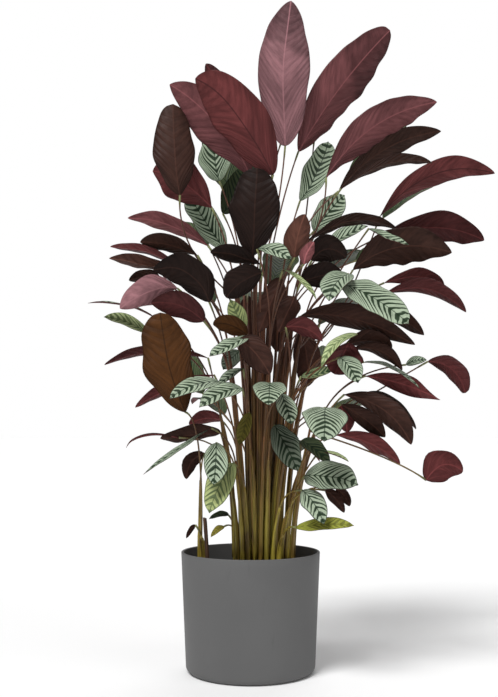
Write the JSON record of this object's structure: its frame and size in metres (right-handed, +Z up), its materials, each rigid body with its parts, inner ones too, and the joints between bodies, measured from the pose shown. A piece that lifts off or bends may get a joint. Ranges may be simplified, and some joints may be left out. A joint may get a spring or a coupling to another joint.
{
  "type": "potted never never plant",
  "caption": "Potted never never plant: upright stems with patterned, red-backed leaves in a plain round grey planter, for standing on a floor.",
  "frame": {"origin": "centre of the planter's flat underside", "axes": "+Z up; -Y towards the front that the picture shows; +X to the right of that front"},
  "size_m": [0.7468, 0.54, 1.2602],
  "materials": {
    "pot": "matte",
    "soil": "matte",
    "foliage": "satin",
    "dry_stalk": "matte"
  },
  "bodies": {
    "root": {"pot": "pot", "soil": "soil", "leafy_stem_01": "foliage", "leafy_stem_02": "foliage", "leafy_stem_03": "foliage", "leafy_stem_04": "foliage", "leafy_stem_05": "foliage", "leafy_stem_06": "foliage", "leafy_stem_07": "foliage", "leafy_stem_08": "foliage", "leafy_stem_09": "foliage", "leafy_stem_10": "foliage", "leafy_stem_11": "foliage", "leafy_stem_12": "foliage", "leafy_stem_13": "foliage", "leafy_stem_14": "foliage", "leafy_stem_15": "foliage", "leafy_stem_16": "foliage", "leafy_stem_17": "foliage", "leafy_stem_18": "foliage", "leafy_stem_19": "foliage", "leafy_stem_20": "foliage", "leafy_stem_21": "foliage", "leafy_stem_22": "foliage", "leafy_stem_23": "foliage", "leafy_stem_24": "foliage", "leafy_stem_25": "foliage", "leafy_stem_26": "foliage", "leafy_stem_27": "foliage", "leafy_stem_28": "foliage", "leafy_stem_29": "foliage", "leafy_stem_30": "foliage", "leafy_stem_31": "foliage", "leafy_stem_32": "foliage", "leafy_stem_33": "foliage", "leafy_stem_34": "foliage", "leafy_stem_35": "foliage", "leafy_stem_36": "foliage", "leafy_stem_37": "foliage", "leafy_stem_38": "foliage", "leafy_stem_39": "foliage", "leafy_stem_40": "foliage", "leafy_stem_41": "foliage", "leafy_stem_42": "foliage", "leafy_stem_43": "foliage", "leafy_stem_44": "foliage", "leafy_stem_45": "foliage", "leafy_stem_46": "foliage", "leafy_stem_47": "foliage", "leafy_stem_48": "foliage", "leafy_stem_49": "foliage", "leafy_stem_50": "foliage", "leafy_stem_51": "foliage", "cut_stub": "dry_stalk"}
  },
  "joints": []
}
